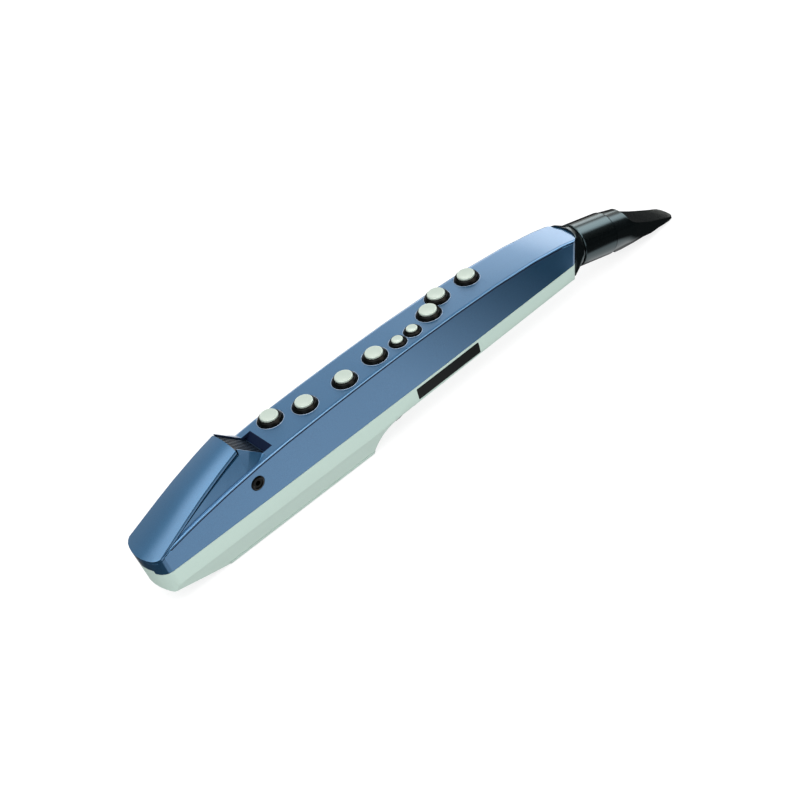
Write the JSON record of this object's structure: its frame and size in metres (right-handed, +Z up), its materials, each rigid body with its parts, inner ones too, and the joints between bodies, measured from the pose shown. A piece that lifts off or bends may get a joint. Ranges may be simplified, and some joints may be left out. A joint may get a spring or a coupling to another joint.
{
  "type": "digital wind controller",
  "caption": "Slim two-tone electronic wind instrument with raised speaker hood, silver finger keys on black skirts, thumb hook, battery grip and a black reed mouthpiece",
  "frame": {"origin": "middle of the footprint, on the battery cover's flat underside", "axes": "+X along the body towards the mouthpiece, +Y to the far side of the picture, +Z up on the key side"},
  "size_m": [0.4592, 0.0356, 0.0741],
  "materials": {
    "body_blue": "metallic steel-blue lacquer, satin",
    "shell_pale": "pale grey-green moulding, satin",
    "key_silver": "silver-white pearl, gloss",
    "key_black": "black, semi-gloss",
    "mouth_black": "black, polished",
    "back_black": "black, fine matt",
    "grille_blue": "grey-blue, satin",
    "steel": "plain plated steel",
    "board_green": "circuit board, solder resist",
    "silicone": "translucent silicone rubber",
    "cell_wrap": "plain shrink wrap",
    "cone_paper": "black pressed paper"
  },
  "bodies": {
    "instrument": {"top_shell": "body_blue", "bottom_shell": "shell_pale", "hood_lid": "body_blue", "speaker_grille": "grille_blue", "speaker_driver": "steel", "speaker_cone": "cone_paper", "key_board": "board_green", "dome_mat": "silicone", "neck_collar": "back_black", "neck_sleeve": "silicone", "phones_jack": "key_black", "usb_socket": "steel", "contact_bell": "steel", "contact_neck": "steel", "main_board": "board_green", "breath_sensor": "back_black", "air_tube": "silicone", "thumb_hook": "back_black", "thumb_rest": "silicone", "battery_1": "cell_wrap", "case_screw_1": "steel", "battery_2": "cell_wrap", "case_screw_2": "steel", "battery_3": "cell_wrap", "case_screw_3": "steel", "battery_4": "cell_wrap", "case_screw_4": "steel"},
    "key_1": {"key_skirt_1": "key_black", "key_cap_1": "key_silver"},
    "key_2": {"key_skirt_2": "key_black", "key_cap_2": "key_silver"},
    "key_3": {"key_skirt_3": "key_black", "key_cap_3": "key_silver"},
    "key_4": {"key_skirt_4": "key_black", "key_cap_4": "key_silver"},
    "key_5": {"key_skirt_5": "key_black", "key_cap_5": "key_silver"},
    "key_6": {"key_skirt_6": "key_black", "key_cap_6": "key_silver"},
    "key_7": {"key_skirt_7": "key_black", "key_cap_7": "key_silver"},
    "small_key_1": {"small_skirt_1": "key_black", "small_cap_1": "key_silver"},
    "small_key_2": {"small_skirt_2": "key_black", "small_cap_2": "key_silver"},
    "octave_key_1": {"octave_key_1": "back_black"},
    "octave_key_2": {"octave_key_2": "back_black"},
    "power_button": {"power_button": "back_black"},
    "volume_down": {"volume_down": "back_black"},
    "volume_up": {"volume_up": "back_black"},
    "mouthpiece": {"mouthpiece_body": "mouth_black", "reed": "mouth_black"},
    "battery_cover": {"battery_cover": "shell_pale"}
  },
  "joints": [
    {"name": "key_1_press", "type": "slide", "parent": "instrument", "child": "key_1", "axis": [0, 0, -1], "range_m": [0, 0.0012], "stiffness_N_per_m": 400, "springref_m": -0.0006},
    {"name": "key_2_press", "type": "slide", "parent": "instrument", "child": "key_2", "axis": [0, 0, -1], "range_m": [0, 0.0012], "stiffness_N_per_m": 400, "springref_m": -0.0006},
    {"name": "key_3_press", "type": "slide", "parent": "instrument", "child": "key_3", "axis": [0, 0, -1], "range_m": [0, 0.0012], "stiffness_N_per_m": 400, "springref_m": -0.0006},
    {"name": "key_4_press", "type": "slide", "parent": "instrument", "child": "key_4", "axis": [0, 0, -1], "range_m": [0, 0.0012], "stiffness_N_per_m": 400, "springref_m": -0.0006},
    {"name": "key_5_press", "type": "slide", "parent": "instrument", "child": "key_5", "axis": [0, 0, -1], "range_m": [0, 0.0012], "stiffness_N_per_m": 400, "springref_m": -0.0006},
    {"name": "key_6_press", "type": "slide", "parent": "instrument", "child": "key_6", "axis": [0, 0, -1], "range_m": [0, 0.0012], "stiffness_N_per_m": 400, "springref_m": -0.0006},
    {"name": "key_7_press", "type": "slide", "parent": "instrument", "child": "key_7", "axis": [0, 0, -1], "range_m": [0, 0.0012], "stiffness_N_per_m": 400, "springref_m": -0.0006},
    {"name": "small_key_1_press", "type": "slide", "parent": "instrument", "child": "small_key_1", "axis": [0, 0, -1], "range_m": [0, 0.0012], "stiffness_N_per_m": 400, "springref_m": -0.0006},
    {"name": "small_key_2_press", "type": "slide", "parent": "instrument", "child": "small_key_2", "axis": [0, 0, -1], "range_m": [0, 0.0012], "stiffness_N_per_m": 400, "springref_m": -0.0006},
    {"name": "octave_key_1_press", "type": "slide", "parent": "instrument", "child": "octave_key_1", "axis": [0, 0, 1], "range_m": [0, 0.0008], "stiffness_N_per_m": 500, "springref_m": -0.0005},
    {"name": "octave_key_2_press", "type": "slide", "parent": "instrument", "child": "octave_key_2", "axis": [0, 0, 1], "range_m": [0, 0.0008], "stiffness_N_per_m": 500, "springref_m": -0.0005},
    {"name": "power_button_press", "type": "slide", "parent": "instrument", "child": "power_button", "axis": [0, 0, 1], "range_m": [0, 0.0008], "stiffness_N_per_m": 500, "springref_m": -0.0005},
    {"name": "volume_down_press", "type": "slide", "parent": "instrument", "child": "volume_down", "axis": [0, 0, 1], "range_m": [0, 0.0008], "stiffness_N_per_m": 500, "springref_m": -0.0005},
    {"name": "volume_up_press", "type": "slide", "parent": "instrument", "child": "volume_up", "axis": [0, 0, 1], "range_m": [0, 0.0008], "stiffness_N_per_m": 500, "springref_m": -0.0005},
    {"name": "mouthpiece_pull", "type": "slide", "parent": "instrument", "child": "mouthpiece", "axis": [0.9636, 0, -0.2672], "range_m": [0, 0.024]},
    {"name": "battery_cover_slide", "type": "slide", "parent": "instrument", "child": "battery_cover", "axis": [1, 0, 0], "range_m": [0, 0.01]}
  ]
}
